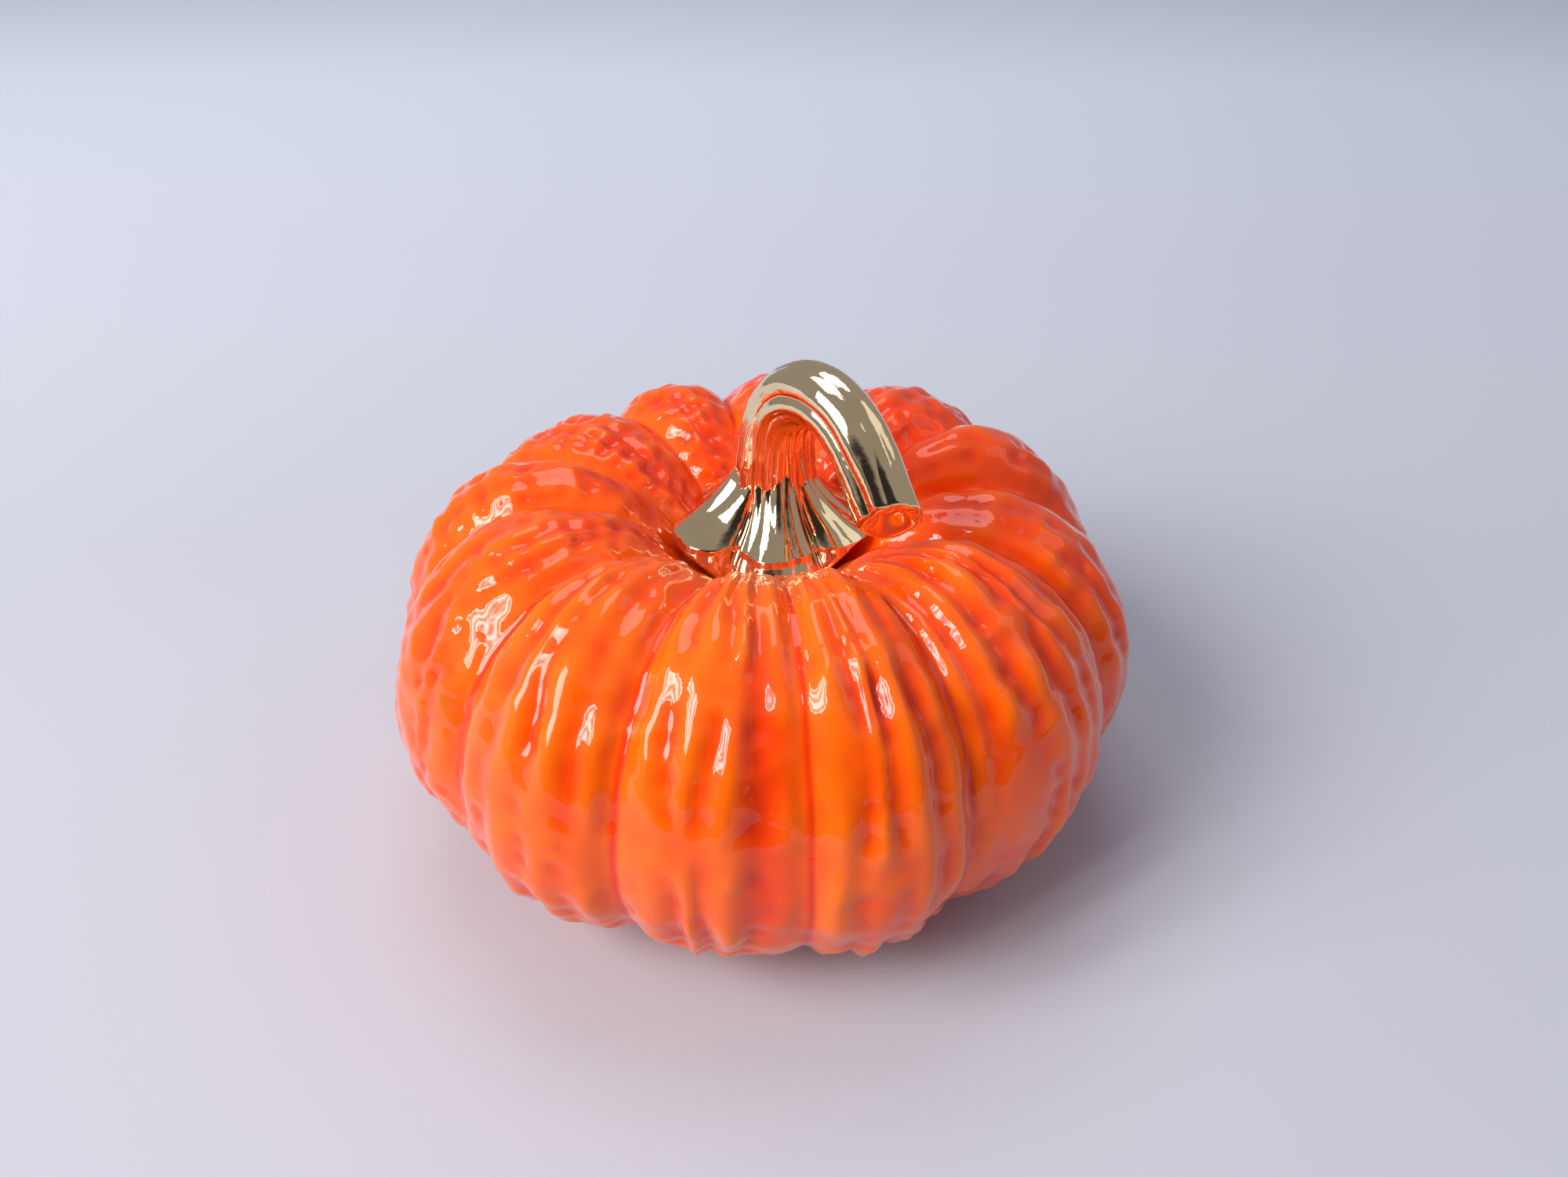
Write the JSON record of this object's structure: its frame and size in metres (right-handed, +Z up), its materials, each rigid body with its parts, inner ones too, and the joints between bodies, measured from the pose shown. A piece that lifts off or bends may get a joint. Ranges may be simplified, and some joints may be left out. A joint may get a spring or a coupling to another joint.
{
  "type": "ceramic pumpkin figure",
  "caption": "Hollow glazed ceramic pumpkin with fluted, dimpled lobes and a gold-plated hooked stem, standing on felt pads as a shelf or table decoration.",
  "frame": {"origin": "on the surface that the figure stands on, under the middle of its box", "axes": "+Z up the stem, -Y out of the front, where the two narrow front lobes meet, and +X to the right as seen from the front; the stem's hook leans forwards and to +X"},
  "size_m": [0.2002, 0.1964, 0.1362],
  "materials": {
    "orange_glaze": "gloss",
    "gold_plating": "polished",
    "epoxy": "satin",
    "felt": "matte"
  },
  "bodies": {
    "root": {"pumpkin_body": "orange_glaze", "stem": "gold_plating", "stem_adhesive": "epoxy", "felt_pad_1": "felt", "felt_pad_2": "felt", "felt_pad_3": "felt", "felt_pad_4": "felt"}
  },
  "joints": []
}
